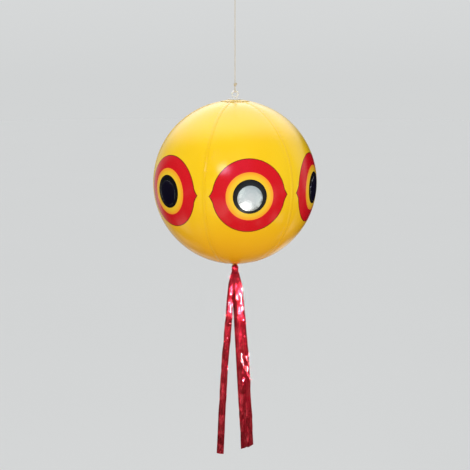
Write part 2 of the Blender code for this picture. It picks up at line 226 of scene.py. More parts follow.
def twisted(name, points, radius, pitch, strands=3, sides=10, ends=0.0, loosen=None):
    """A laid cord: round strands wound about the path, each a closed tube. U runs along a strand and V round it.

    ends is how far each strand's tips taper, and loosen(t) widens the lay at t from 0 to 1.
    """
    path = smooth_path(points, pitch / 14)
    frames = frames_along(path)
    strand = radius * 0.535
    verts, faces, uvs = [], [], []
    length = sum((b - a).length for a, b in zip(path, path[1:]))
    step = length / (len(path) - 1)
    for s in range(strands):
        centres = []
        for i, (p, tangent, a, b) in enumerate(frames):
            angle = 2 * math.pi * (i * step / pitch + s / strands)
            out = (radius - strand) * (loosen(i / (len(frames) - 1)) if loosen else 1.0)
            centres.append(p + out * (math.cos(angle) * a + math.sin(angle) * b))
        base = len(verts)
        for i, (p, tangent, a, b) in enumerate(frames_along(centres)):
            from_end = min(i, len(frames) - 1 - i) * step
            size = strand
            if ends and from_end < ends:
                size *= math.sqrt(max(0.02, 1 - (1 - from_end / ends) ** 2))
            for j in range(sides):
                turn = 2 * math.pi * j / sides
                verts.append(p + size * (math.cos(turn) * a + math.sin(turn) * b))
                uvs.append((i * step / MM, j / sides))
        for i in range(len(frames) - 1):
            for j in range(sides):
                k = (j + 1) % sides
                faces.append((base + i * sides + j, base + i * sides + k, base + (i + 1) * sides + k, base + (i + 1) * sides + j))
        faces.append(tuple(base + j for j in range(sides)))
        faces.append(tuple(base + (len(frames) - 1) * sides + j for j in range(sides)))
    return flip_if_inward(mesh_object(name, verts, faces, uvs)), length


def joined(name, pieces):
    """One mesh of several."""
    bm = bmesh.new()
    for piece in pieces:
        bm.from_mesh(piece.data)
        bpy.data.objects.remove(piece, do_unlink=True)
    mesh = bpy.data.meshes.new(name)
    bm.to_mesh(mesh)
    bm.free()
    mesh.shade_smooth()
    return link(bpy.data.objects.new(name, mesh))


def applied(obj):
    """Puts an object's modifiers into its mesh."""
    depsgraph = bpy.context.evaluated_depsgraph_get()
    mesh = bpy.data.meshes.new_from_object(obj.evaluated_get(depsgraph))
    obj.modifiers.clear()
    obj.data = mesh
    mesh.shade_smooth()
    return obj


# ---------------------------------------------------------------- materials


class Tree:
    """Short ways to build a shader tree."""

    def __init__(self, name):
        self.material = bpy.data.materials.new(name)
        self.material.use_nodes = True
        self.tree = self.material.node_tree
        self.shader = self.tree.nodes["Principled BSDF"]

    def node(self, kind, **settings):
        made = self.tree.nodes.new("ShaderNode" + kind)
        for key, value in settings.items():
            setattr(made, key, value)
        return made

    def put(self, value, socket):
        if isinstance(value, bpy.types.NodeSocket):
            self.tree.links.new(value, socket)
        elif value is not None:
            socket.default_value = value

    def math(self, operation, a, b=None, c=None, clamp=False):
        made = self.node("Math", operation=operation, use_clamp=clamp)
        for value, socket in zip((a, b, c), made.inputs):
            self.put(value, socket)
        return made.outputs[0]

    def vector(self, operation, a, b=None, scale=None):
        made = self.node("VectorMath", operation=operation)
        self.put(a, made.inputs[0])
        if b is not None:
            self.put(b, made.inputs[1])
        if scale is not None:
            self.put(scale, made.inputs["Scale"])
        return made.outputs["Value" if operation in ("LENGTH", "DOT_PRODUCT", "DISTANCE") else "Vector"]

    def mix(self, factor, a, b, blend="MIX"):
        """Colours."""
        made = self.node("Mix", data_type="RGBA", blend_type=blend)
        self.put(factor, made.inputs[0])
        self.put(a if isinstance(a, bpy.types.NodeSocket) else (*a, 1.0), made.inputs[6])
        self.put(b if isinstance(b, bpy.types.NodeSocket) else (*b, 1.0), made.inputs[7])
        return made.outputs[2]

    def smooth(self, value, low, high):
        """0 below low and 1 above high, smooth between."""
        made = self.node("MapRange", interpolation_type="SMOOTHSTEP")
        self.put(value, made.inputs[0])
        made.inputs[1].default_value = low
        made.inputs[2].default_value = high
        return made.outputs[0]

    def noise(self, vector, scale, detail=3.0, roughness=0.5, distortion=0.0):
        made = self.node("TexNoise")
        self.put(vector, made.inputs["Vector"])
        made.inputs["Scale"].default_value = scale
        made.inputs["Detail"].default_value = detail
        made.inputs["Roughness"].default_value = roughness
        made.inputs["Distortion"].default_value = distortion
        return made.outputs["Fac"]

    def voronoi(self, vector, scale, feature="F1", output="Distance"):
        made = self.node("TexVoronoi", feature=feature)
        self.put(vector, made.inputs["Vector"])
        made.inputs["Scale"].default_value = scale
        return made.outputs[output]

    def place(self):
        """Coordinates that stay with the piece, in metres in the row frame at rest."""
        return self.node("TexCoord").outputs["Object"]

    def uv(self):
        return self.node("TexCoord").outputs["UV"]

    def bump(self, height, distance, strength=1.0, normal=None):
        made = self.node("Bump")
        made.inputs["Strength"].default_value = strength
        made.inputs["Distance"].default_value = distance
        self.put(height, made.inputs["Height"])
        if normal is not None:
            self.put(normal, made.inputs["Normal"])
        return made.outputs[0]

    def set(self, **values):
        for key, value in values.items():
            socket = self.shader.inputs[key.replace("_", " ")]
            if isinstance(value, tuple) and socket.type == "RGBA":
                value = (*value, 1.0)
            self.put(value, socket)
        return self


def ball_frame(t):
    """Direction from the ball's middle, and its longitude and latitude in degrees with the front eye at 0."""
    out = t.vector("NORMALIZE", t.vector("SUBTRACT", t.place(), (0.0, 0.0, BALL_Z)))
    split = t.node("SeparateXYZ")
    t.put(out, split.inputs[0])
    x, y, z = split.outputs
    longitude = t.math("ADD", t.math("DEGREES", t.math("ARCTAN2", y, x)), 90.0)
    latitude = t.math("DEGREES", t.math("ARCSINE", z))
    return out, longitude, latitude, z


def vinyl_material():
    """Yellow film with six printed eyes. The print is exact: it depends only on the angle from each eye's middle."""
    t = Tree("printed vinyl")
    out, longitude, latitude, z = ball_frame(t)
    turns = t.math("ROUND", t.math("DIVIDE", longitude, 60.0))
    across = t.math("SUBTRACT", longitude, t.math("MULTIPLY", turns, 60.0))
    cos_lat = t.math("COSINE", t.math("RADIANS", latitude))
    angle = t.math(
        "DEGREES",
        t.math("ARCCOSINE", t.math("MULTIPLY", cos_lat, t.math("COSINE", t.math("RADIANS", across)))),
    )
    # The red shape: a circle with a small pointed corner to each side.
    circle = t.math("SUBTRACT", 24.15, angle)
    height = t.math("ABSOLUTE", latitude)
    corner = t.math(
        "SUBTRACT",
        t.math("SUBTRACT", 26.3, t.math("ABSOLUTE", across)),
        t.math("MULTIPLY", t.math("POWER", height, 0.8), 0.8),
    )
    corner = t.math("SUBTRACT", t.math("MULTIPLY", corner, 0.75), t.math("MULTIPLY", t.math("GREATER_THAN", height, 9.0), 100.0))
    inside = t.math("MAXIMUM", circle, corner)

    # Film: a little uneven in tone, paler towards the top with a painted highlight, deeper orange towards the bottom
    # with painted shade, and deeper where two layers lie on each other.
    broad = t.noise(t.place(), 9.0, 2.0)
    fine = t.noise(t.place(), 160.0, 3.0, 0.6)
    film = t.mix(t.smooth(broad, 0.35, 0.65), (0.90, 0.555, 0.003), (0.93, 0.59, 0.005))
    film = t.mix(t.math("MULTIPLY", t.smooth(fine, 0.4, 0.8), 0.08), film, (0.98, 0.68, 0.03))
    # painted shade: the film turns deeper orange towards the bottom of the ball
    film = t.mix(t.smooth(t.math("MULTIPLY", z, -1.0), -0.15, 1.0), film, (0.94, 0.385, 0.002))
    # painted highlight: the film turns paler towards the top of the ball, as the sheen of light from above
    film = t.mix(t.math("MULTIPLY", t.smooth(z, 0.45, 1.0), 0.30), film, (0.96, 0.66, 0.09))

    # Distance in millimetres past each seam, on its lapped side.
    from_seam = t.math("SUBTRACT", t.math("MULTIPLY", t.math("SUBTRACT", longitude, 30.0), 1.0), 0.0)
    seam = t.math("ROUND", t.math("DIVIDE", from_seam, 60.0))
    from_seam = t.math("SUBTRACT", from_seam, t.math("MULTIPLY", seam, 60.0))
    from_seam = t.math("MULTIPLY", t.math("MULTIPLY", t.math("RADIANS", from_seam), cos_lat), 200.0)
    lapped = t.math(
        "MULTIPLY", t.math("GREATER_THAN", from_seam, -0.9), t.math("LESS_THAN", from_seam, 5.0)
    )
    film = t.mix(t.math("MULTIPLY", lapped, 0.18), film, (0.84, 0.44, 0.003))

    colour = t.mix(t.math("GREATER_THAN", inside, 0.0), film, (0.16, 0.0016, 0.003))
    ink = t.noise(t.place(), 420.0, 2.0, 0.6)
    red = t.mix(t.smooth(ink, 0.3, 0.7), (0.63, 0.0014, 0.007), (0.69, 0.003, 0.011))
    colour = t.mix(t.math("GREATER_THAN", inside, 0.5), colour, red)
    ring = t.mix(t.smooth(angle, 12.2, 15.3), (0.90, 0.54, 0.020), (0.97, 0.36, 0.016))
    colour = t.mix(t.math("LESS_THAN", angle, 15.35), colour, ring)
    colour = t.mix(t.math("LESS_THAN", angle, 10.9), colour, (0.006, 0.006, 0.007))

    # Surface: faint orange-peel, a printed edge that can just be felt, and the weld's fine ribs along each lap.
    ribs = t.math("SINE", t.math("MULTIPLY", from_seam, 2 * math.pi / 0.9))
    ribs = t.math("MULTIPLY", ribs, lapped)
    peel = t.noise(t.place(), 260.0, 2.0, 0.5)
    slack = t.noise(t.place(), 26.0, 2.0, 0.5)
    normal = t.bump(slack, 0.0012, 0.35)
    normal = t.bump(peel, 0.00012, 0.35, normal)
    normal = t.bump(ribs, 0.00006, 0.6, normal)
    normal = t.bump(t.math("GREATER_THAN", inside, 0.0), 0.00005, 0.4, normal)
    rough = t.math("ADD", 0.17, t.math("MULTIPLY", t.smooth(broad, 0.3, 0.7), 0.05))
    t.set(Base_Color=colour, Roughness=rough, Normal=normal, Coat_Normal=normal)
    t.set(Coat_Weight=0.5, Coat_Roughness=0.12, Specular_IOR_Level=0.5)
    return t.material


def cap_material():
    """The same film over the gores' tips, with a knurled welding ring near its edge. Its colour carries the film's
    painted light: paler on the top patch, and deeper orange with painted shade on the bottom one.
    """
    t = Tree("cap vinyl")
    where = t.vector("SUBTRACT", t.place(), (0.0, 0.0, BALL_Z))
    split = t.node("SeparateXYZ")
    t.put(where, split.inputs[0])
    x, y, z = split.outputs
    radius = t.math("SQRT", t.math("ADD", t.math("MULTIPLY", x, x), t.math("MULTIPLY", y, y)))
    radius = t.math("MULTIPLY", radius, 1000.0)
    turn = t.math("ARCTAN2", y, x)
    weld = t.math("MULTIPLY", t.smooth(radius, 27.6, 28.2), t.math("SUBTRACT", 1.0, t.smooth(radius, 32.4, 33.0)))
    knurl = t.math("MULTIPLY", t.math("SINE", t.math("MULTIPLY", turn, 150.0)), t.math("SINE", t.math("MULTIPLY", radius, 5.2)))
    # painted shade: the bottom patch takes the film's deeper orange underside, the top one its paler, highlighted tone
    painted_shade_below = t.math("LESS_THAN", z, 0.0)
    film = t.mix(painted_shade_below, (0.955, 0.615, 0.034), (0.94, 0.385, 0.002))
    film = t.mix(t.math("MULTIPLY", weld, 0.10), film, (0.84, 0.44, 0.003))
    film = t.mix(t.math("MULTIPLY", t.noise(t.place(), 90.0), 0.12), film, (0.98, 0.72, 0.05))
    normal = t.bump(t.math("MULTIPLY", knurl, weld), 0.00014, 0.7)
    normal = t.bump(t.noise(t.place(), 260.0, 2.0), 0.00012, 0.35, normal)
    t.set(Base_Color=film, Normal=normal, Coat_Normal=normal, Roughness=0.2)
    t.set(Coat_Weight=0.5, Coat_Roughness=0.1, Specular_IOR_Level=0.55)
    return t.material


def mirror_material():
    """Mirror-bright film: a fine crinkle, a few faint creases and a soft haze, a little brighter on the crinkle's
    crests as a faint painted highlight.
    """
    t = Tree("mirror film")
    place = t.place()
    crinkle = t.noise(place, 55.0, 3.0, 0.5, 0.4)
    fine = t.noise(place, 700.0, 2.0, 0.5)
    cells = t.voronoi(place, 38.0, "DISTANCE_TO_EDGE")
    crease = t.math("SUBTRACT", 1.0, t.smooth(cells, 0.0, 0.05))
    normal = t.bump(crinkle, 0.0015, 0.30)
    normal = t.bump(crease, 0.00012, 0.25, normal)
    normal = t.bump(fine, 0.00004, 0.5, normal)
    # faint painted highlight: the silver is a little brighter on the crinkle's crests and darker in its hollows
    colour = t.mix(t.smooth(crinkle, 0.35, 0.65), (0.90, 0.93, 0.94), (0.97, 0.97, 0.98))
    rough = t.math("ADD", 0.06, t.math("MULTIPLY", t.smooth(fine, 0.3, 0.8), 0.10))
    t.set(Base_Color=colour, Metallic=1.0, Roughness=rough, Normal=normal)
    return t.material


def moulded_material(name, colour, deeper, roughness=0.34, glow=0.25):
    """Soft moulded vinyl, slightly cloudy, with the satin skin of its mould."""
    t = Tree(name)
    place = t.place()
    cloud = t.smooth(t.noise(place, 150.0, 3.0, 0.55), 0.3, 0.7)
    satin = t.noise(place, 2600.0, 2.0, 0.6)
    normal = t.bump(satin, 0.00003, 0.6)
    normal = t.bump(t.noise(place, 260.0, 2.0), 0.00016, 0.3, normal)
    rough = t.math("ADD", roughness, t.math("MULTIPLY", satin, 0.12))
    t.set(Base_Color=t.mix(cloud, colour, deeper), Roughness=rough, Normal=normal)
    t.set(Subsurface_Weight=glow, Subsurface_Radius=(0.004, 0.003, 0.002), Subsurface_Scale=1.0)
    t.set(Coat_Weight=0.15, Coat_Roughness=0.25)
    return t.material


def cord_material():
    """Cream fibre: fine filaments along each strand, with painted shade darkening the grooves between them so they
    look paler on the crowns, and a faint painted highlight on the fuzz.
    """
    t = Tree("cord fibre")
    uv = t.uv()
    split = t.node("SeparateXYZ")
    t.put(uv, split.inputs[0])
    along, around = split.outputs[0], split.outputs[1]
    line = t.math("SINE", t.math("MULTIPLY", t.math("ADD", t.math("MULTIPLY", around, 14.0), t.math("MULTIPLY", along, 0.55)), 2 * math.pi))
    fuzz = t.noise(t.place(), 2400.0, 3.0, 0.7)
    tint = t.noise(t.place(), 300.0, 2.0)
    colour = t.mix(t.smooth(tint, 0.3, 0.7), (0.74, 0.66, 0.49), (0.86, 0.80, 0.66))
    # painted shade: darker in the grooves of the filaments' bump
    colour = t.mix(t.math("MULTIPLY", t.smooth(line, -0.9, 0.2), 0.35), (0.56, 0.47, 0.32), colour)
    # paler where the fuzz bump stands up, partly the loose fibres' own tone and partly a painted highlight
    colour = t.mix(t.math("MULTIPLY", t.smooth(fuzz, 0.3, 0.8), 0.3), colour, (0.92, 0.88, 0.78))
    normal = t.bump(line, 0.00012, 0.7)
    normal = t.bump(fuzz, 0.0002, 0.5, normal)
    t.set(Base_Color=colour, Roughness=0.82, Normal=normal)
    t.set(Sheen_Weight=0.35, Sheen_Roughness=0.5, Specular_IOR_Level=0.25)
    return t.material


def foil_material():
    """Red metal film, drawn in millimetres of the flat strip: soft creases along it, darker in their hollows with
    painted shade and brighter on their ridges with a painted highlight, flat facets between fine crinkles, some facets
    brighter as a painted reflection, and the clear skin over the colour."""
    t = Tree("red foil")
    uv = t.uv()
    along = t.vector("MULTIPLY", uv, (0.20, 0.012, 1.0))
    long = t.noise(along, 1.0, 2.0, 0.5, 0.6)
    cells = t.vector("MULTIPLY", uv, (0.13, 0.050, 1.0))
    lean = t.voronoi(cells, 1.0, "F1", "Color")
    split = t.node("SeparateColor")
    t.put(lean, split.inputs[0])
    edge = t.voronoi(cells, 1.0, "DISTANCE_TO_EDGE")
    fine = t.noise(uv, 0.7, 2.0, 0.5)
    normal = t.bump(long, 0.0030, 0.6)
    normal = t.bump(t.smooth(edge, 0.0, 0.16), 0.00022, 0.5, normal)
    normal = t.bump(fine, 0.00010, 0.5, normal)
    # painted shade and highlight: darker down in the lengthwise creases, brighter on their ridges
    colour = t.mix(t.smooth(long, 0.3, 0.7), (0.27, 0.0014, 0.007), (0.47, 0.004, 0.021))
    # painted reflection: some facets brighter at random, as if they caught the light
    colour = t.mix(t.math("MULTIPLY", split.outputs[0], 0.30), colour, (0.70, 0.014, 0.042))
    rough = t.math("ADD", 0.13, t.math("MULTIPLY", split.outputs[1], 0.10))
    t.set(Base_Color=colour, Metallic=0.86, Roughness=rough, Normal=normal, Coat_Normal=normal)
    t.set(Coat_Weight=0.6, Coat_Roughness=0.06)
    return t.material


# ---------------------------------------------------------------- the ball


def smoothstep(x, low, high):
    t = np.clip((x - low) / (high - low), 0.0, 1.0)
    return t * t * (3 - 2 * t)


def skin_shape(longitude, latitude):
    """How far the blown-up film lies from the true ball, in metres: a shallow valley along each weld with small
    puckers beside it, folds that gather towards both poles and a little overall unevenness."""
    seam = np.round(longitude / (math.pi / 3))
    across = (longitude - seam * math.pi / 3) * np.cos(latitude) * SKIN
    along = latitude * SKIN
    high = smoothstep(np.abs(latitude), math.radians(45), math.radians(78))
    shape = -0.55 * MM * np.exp(-((across / (9 * MM)) ** 2))
    phase = along / (11.5 * MM) * 2 * math.pi + 1.9 * seam + 1.4 * np.sin(along / (43 * MM) + seam)
    beside = np.exp(-((across / (12 * MM)) ** 2)) * (1 - np.exp(-((across / (2.6 * MM)) ** 2)))
    side = np.where(across > 0, 0.7, 0.0)
    shape += -0.30 * MM * beside * (1 + 1.1 * high) * (0.5 + 0.5 * np.sin(phase + side))
    folds = smoothstep(np.abs(latitude), math.radians(67), math.radians(80))
    shape += -0.55 * MM * folds * (0.5 + 0.5 * np.sin(34 * longitude + 2.2 * np.sin(5 * longitude)))
    shape += 0.08 * MM * np.sin(3 * longitude + 4 * latitude) * np.cos(5 * latitude + 1.0)
    return shape


def on_ball(longitude, latitude, radius):
    return np.stack(
        [
            radius * np.cos(latitude) * np.cos(longitude),
            radius * np.cos(latitude) * np.sin(longitude),
            radius * np.sin(latitude) + BALL_Z,
        ],
        axis=-1,
    )


def make_gore(index, where, material):
    """One printed gore: its own skin, and the lap that lies over the next gore."""
    columns, rows = 38, 236
    half = math.pi / 6
    middle = index * 2 * half - math.pi / 2
    u = np.linspace(-1, 1, columns)
    u = np.sign(u) * (1 - (1 - np.abs(u)) ** 1.35)  # closer together towards the seams
    latitude = np.linspace(-TIP, TIP, rows)
    ring = SKIN * np.cos(latitude)[:, None]
    lat = latitude[:, None]
    # the plain part, its ramp and the lap, each a column of points
    low = np.full_like(ring, -half)
    high = half - 2.4 * MM / ring
    lon = low + (high - low) * (u[None, :] + 1) / 2
    lift = np.zeros_like(lon)
    extra_lon = [half - 1.2 * MM / ring, half - 0.4 * MM / ring, half + 0.8 * MM / ring, half + 2.6 * MM / ring]
    extra_lift = [0.75, 1.0, 1.0, 1.0]
    extra_lon += [half + (LAP - 0.25 * MM) / ring, half + LAP / ring, half + LAP / ring]
    extra_lift += [1.0, 0.9, 0.15]
    lon = np.concatenate([lon, *extra_lon], axis=1)
    lift = np.concatenate([lift, *[np.full_like(ring, k * LAP_LIFT) for k in extra_lift]], axis=1)
    lon = lon + middle
    lat = np.repeat(lat, lon.shape[1], axis=1)
    radius = SKIN + lift + skin_shape(lon, lat)
    points = on_ball(lon, lat, radius).reshape(-1, 3)
    faces = grid_faces(rows, lon.shape[1])
    if where == "back":
        seat = np.array(CENTRE + SKIN * VALVE_OUT)
        near = np.linalg.norm(points - seat, axis=1) < 6.6 * MM
        faces = [f for f in faces if not any(near[i] for i in f)]
    obj = mesh_object("skin_" + where, points, faces)
    flip_if_inward(obj, CENTRE)
    obj.data.materials.append(material)
    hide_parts("gore_" + where)
    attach(obj, "ball")


def make_pupil(index, where, material):
    """A mirror disc glued in the eye, with a rounded cut edge. It follows the film under it."""
    turn = index * math.pi / 3 - math.pi / 2
    facing = Matrix.Rotation(turn, 4, "Z") @ Matrix.Rotation(math.pi / 2 + math.radians(1.0), 4, "Y")
    rings = [0, 4, 8, 12, 16, 20, 23, 25.5, 27.2, 27.8, 27.92, 28.0]
    steps = 96
    verts = [facing @ Vector((0, 0, SKIN + 0.24 * MM))]
    for r in rings[1:]:
        edge = 0.24 if r < 27.95 else 0.20
        for k in range(steps):
            a = 2 * math.pi * k / steps
            flat = Vector((r * MM * math.cos(a), r * MM * math.sin(a)))
            height = math.sqrt(SKIN**2 - flat.length_squared)
            ripple = 0.05 * MM * (r / 28) ** 3 * math.sin(7 * a + index) * math.sin(3 * a + 2 * index)
            point = Vector((flat.x, flat.y, height)) * (1 + (edge * MM + ripple) / SKIN)
            verts.append(facing @ point)
    for k in range(steps):  # down to the film
        a = 2 * math.pi * k / steps
        flat = Vector((28 * MM * math.cos(a), 28 * MM * math.sin(a)))
        verts.append(facing @ (Vector((flat.x, flat.y, math.sqrt(SKIN**2 - flat.length_squared))) * (1 + 0.05 * MM / SKIN)))
    verts = [v + CENTRE for v in verts]
    faces = [(0, 1 + k, 1 + (k + 1) % steps) for k in range(steps)]
    for i in range(len(rings) - 1):
        for k in range(steps):
            n = (k + 1) % steps
            a, b = 1 + i * steps, 1 + (i + 1) * steps
            faces.append((a + k, b + k, b + n, a + n))
    obj = flip_if_inward(mesh_object("mirror_" + where, verts, faces), CENTRE)
    obj.data.materials.append(material)
    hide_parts("pupil_" + where)
    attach(obj, "ball")


def make_cap(name, flip, material):
    """The round patch over the gores' tips, pressed down at its welded edge."""
    upper, lower = [], []
    for r in (0, 5, 10, 15, 19, 22, 25, 27.5, 28.2, 30.5, 32.6, 33.3, 34.2, 34.8):
        pressed = 0.14 if 28 < r < 33 else 0.0
        edge = 0.0 if r < 33.5 else (0.06 if r < 34.5 else 0.14)
        near = min(1.0, max(0.0, (r - 19) / 11))
        sphere = 200.5 - 0.42 * near * near * (3 - 2 * near) - pressed - edge
        upper.append((r * MM, math.sqrt(sphere**2 - r * r) * MM))
    for r in (35.0, 34.0, 25.0, 12.0, 0):
        lower.append((r * MM, math.sqrt((199.72 if r > 30 else 200.1) ** 2 - r * r) * MM))

    def wobble(a, r):
        rim = max(0.0, (r / MM - 22) / 13)
        return -0.12 * MM * rim**2 * (0.5 + 0.5 * math.sin(34 * a + 2.2 * math.sin(5 * a)))

    matrix = Matrix.Translation(CENTRE) @ Matrix.Rotation(flip, 4, "X")
    obj = lathe("patch_" + name, upper + lower, 204, matrix, wobble)
    obj.data.materials.append(material)
    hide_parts(name)
    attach(obj, "ball")


def make_tab(name, size, flip, material):
    """A moulded ring whose foot flows into a round welded base: its shapes are melted together and smoothed."""
    major, minor, rise = size
    inner, thick, wide = 0.2011, 1.0 * MM, 18 * MM
    outer = inner + thick
    bm = bmesh.new()
    mesh = bpy.data.meshes.new("piece")
    profile = []
    for r, fall in ((0, 0), (6, 0), (11, 0), (15, 0), (16.8, 0.02), (17.6, 0.08), (18.0, 0.22)):
        profile.append((r * MM, math.sqrt((outer - fall * MM) ** 2 - (r * MM) ** 2)))
    for r in (18.0, 12, 0):
        profile.append((r * MM, math.sqrt(inner**2 - (r * MM) ** 2)))
    base = lathe(name + "_base", profile, 96)
    bm.from_mesh(base.data)
    bpy.data.objects.remove(base, do_unlink=True)
    ring_z = 0.2 + rise
    steps, sides = 72, 24
    verts = []
    for i in range(steps):
        a = 2 * math.pi * i / steps
        for j in range(sides):
            b = 2 * math.pi * j / sides
            out = major + minor * math.cos(b)
            verts.append((out * math.cos(a), 0.8 * minor * math.sin(b), ring_z + out * math.sin(a)))
    faces = grid_faces(steps, sides, wrap=True)
    faces += [((steps - 1) * sides + j, (steps - 1) * sides + (j + 1) % sides, (j + 1) % sides, j) for j in range(sides)]
    ring = flip_if_inward(mesh_object(name + "_ring", verts, faces))
    bm.from_mesh(ring.data)
    bpy.data.objects.remove(ring, do_unlink=True)
    # the foot: sections that widen from the ring down to the base
    low, high = inner + thick * 0.4, ring_z - major - 0.1 * minor
    count, verts = 28, []
    levels = 7
    for i in range(levels):
        t = i / (levels - 1)
        spread = (1 - t) ** 2.2
        half_x, half_y = (3.9 + 3.3 * spread) * MM, (1.6 + 2.2 * spread) * MM
        for j in range(count):
            a = 2 * math.pi * j / count
            ca, sa = math.cos(a), math.sin(a)
            verts.append((
                half_x * math.copysign(abs(ca) ** 0.7, ca),
                half_y * math.copysign(abs(sa) ** 0.7, sa),
                low + (high - low) * t,
            ))
    faces = grid_faces(levels, count, wrap=True)
    faces += [tuple(range(count))[::-1], tuple((levels - 1) * count + j for j in range(count))]
    foot = flip_if_inward(mesh_object(name + "_foot", verts, faces))
    bm.from_mesh(foot.data)
    bpy.data.objects.remove(foot, do_unlink=True)
    bm.to_mesh(mesh)
    bm.free()
    obj = link(bpy.data.objects.new("moulded_" + name, mesh))
    melt = obj.modifiers.new("Melt", "REMESH")
    melt.mode = "VOXEL"
    melt.voxel_size = 0.33 * MM
    even = obj.modifiers.new("Even", "SMOOTH")
    even.factor = 0.5
    even.iterations = 12
    applied(obj)
    obj.data.transform(Matrix.Translation(CENTRE) @ Matrix.Rotation(flip, 4, "X"))
    obj.data.materials.append(material)
    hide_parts(name)
    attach(obj, "ball")


# ---------------------------------------------------------------- the valve


def make_valve(material):
    tangent = Vector((0, -math.sin(VALVE_LATITUDE), math.cos(VALVE_LATITUDE)))
    turn = Matrix((tangent, (1, 0, 0), VALVE_OUT)).transposed().to_4x4()
    seat = Matrix.Translation(CENTRE + 0.2 * VALVE_OUT) @ turn

    def drop(r, sphere):
        return (r * MM, math.sqrt(sphere**2 - (r * MM) ** 2) - 0.2)

    def finish(obj, node, body):
        obj.data.materials.append(material)
        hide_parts(node)
        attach(obj, body)
        return obj

    inner, outer = 0.1997, 0.2005
    profile = [(5.0, 2.2), (5.12, 2.36), (5.3, 2.4), (6.6, 2.4), (6.9, 2.3), (7.05, 2.05), (7.15, 1.2)]
    profile = [(r * MM, z * MM) for r, z in profile]
    profile += [drop(r, outer) for r in (7.7, 9.0, 9.3, 9.6, 9.9, 11.4, 11.7, 12.0, 12.3, 13.6, 14.4)]
    for i, lift in ((9, 0.18), (10, 0.18), (13, 0.18), (14, 0.18)):
        profile[i - 1] = (profile[i - 1][0], profile[i - 1][1] + lift * MM)
    profile += [drop(14.8, outer - 0.15 * MM), drop(15.0, outer - 0.45 * MM)]
    profile += [drop(r, inner) for r in (15.0, 11.0, 7.4, 5.0)]
    finish(lathe("flange", profile, 96, seat), "valve_base", "ball")

    profile = [(3.0, 3.7), (3.1, 3.92), (3.3, 4.0), (5.7, 4.0), (6.1, 3.92), (6.36, 3.7), (6.4, 3.4), (6.36, 3.0)]
    profile += [(6.1, 2.82), (5.8, 2.8), (4.6, 2.8), (4.5, 2.6), (4.5, -5), (4.5, -15.0), (4.65, -15.2), (5.8, -15.2)]
    profile += [(6.0, -15.4), (6.0, -15.8), (5.8, -16.0), (3.2, -16.0), (3.0, -15.8), (3.0, -5)]
    finish(lathe("neck", [(r * MM, z * MM) for r, z in profile], 72, seat), "valve_stem", "valve_neck")

    profile = [(0, 6.32), (1.4, 6.34), (1.7, 6.5), (2.0, 6.42), (2.3, 6.3), (3.4, 6.14), (4.3, 5.85), (4.8, 5.5)]
    profile += [(5.0, 5.15), (5.0, 4.75), (4.85, 4.5), (4.6, 4.4), (2.85, 4.4), (2.7, 4.2), (2.66, 1.5), (2.7, 0.6)]
    profile += [(2.66, -0.3), (2.68, -2.8), (2.5, -3.4), (2.1, -3.6), (0, -3.6)]
    finish(lathe("bung", [(r * MM, z * MM) for r, z in profile], 72, seat), "valve_plug", "valve_bung")

    profile = [(0, 0.25), (3.5, 0.25), (3.66, 0.18), (3.7, 0.0), (3.66, -0.18), (3.5, -0.25), (0, -0.25)]
    at = seat @ Matrix.Translation((0.4 * MM, 0, -16.65 * MM))
    finish(lathe("flap", [(r * MM, z * MM) for r, z in profile], 48, at), "valve_flap", "valve_flap")

    # the strap from the neck's lip to the bung, a flat ribbon with rounded edges
    route = [(-5.4, 5.0), (-7.0, 5.4), (-8.3, 5.1), (-8.8, 4.1), (-8.1, 3.3), (-6.8, 3.2)]
    path = smooth_path([(x * MM, 0, z * MM) for x, z in route], 0.25 * MM)
    verts = []
    section = [(-1.45, -0.2), (-1.3, -0.38), (1.3, -0.38), (1.45, -0.2), (1.45, 0.2), (1.3, 0.38), (-1.3, 0.38), (-1.45, 0.2)]
    for i, p in enumerate(path):
        tangent_here = (path[min(i + 1, len(path) - 1)] - path[max(i - 1, 0)]).normalized()
        out = Vector((0, 1, 0)).cross(tangent_here)
        for w, h in section:
            verts.append(seat @ (p + Vector((0, w * MM, 0)) + out * h * MM))
    count = len(section)
    faces = grid_faces(len(path), count, wrap=True)
    faces += [tuple(range(count)), tuple((len(path) - 1) * count + j for j in range(count))]
    strap = flip_if_inward(mesh_object("strap", verts, faces))
    strap.data.materials.append(material)
    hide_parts("valve_tether")
    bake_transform(strap)


# ---------------------------------------------------------------- the cord


def wraps(name, low, high, reach, radius, turns, two_above, tip):
    """A wound knot: the cord goes round and round itself, and its cut end sticks out. Two cords run down through the
    turns, side by side where they come in and closer where one of them leaves."""
    points = []
    steps = int(turns * 18)
    bottom, top = low + radius * 0.9, high - radius * 0.9
    for i in range(steps + 1):
        t = i / steps
        a = 2 * math.pi * turns * t
        # the turns are drawn in where one cord leaves, and each lies a little differently
        up = t if two_above else 1 - t
        swell = reach - radius - 0.30 * MM * (1 - smoothstep(up, 0.0, 0.22)) + 0.10 * MM * math.sin(2.7 * a)
        lean = 0.28 * MM * math.sin(a + 0.6)
        points.append(Vector((swell * math.cos(a), 0.94 * swell * math.sin(a), bottom + (top - bottom) * t + lean)))
    points += [Vector(p) for p in tip]
    coil, _ = twisted(name + "_coil", points, radius, 6 * MM, ends=0.5 * MM)
    pieces = [coil]
    for side in (-1, 1):
        route = []
        for k in range(7):
            t = k / 6
            up = t if two_above else 1 - t
            apart = (0.55 + 0.40 * up) * MM
            route.append((side * apart if two_above else 0.0, 0.0 if two_above else side * apart, low + 0.5 * MM + (high - low - 1.0 * MM) * t))
        pieces.append(twisted(f"{name}_inside_{side}", route, radius * 0.97, 7.5 * MM, ends=0.3 * MM)[0])
    return joined(name, pieces)


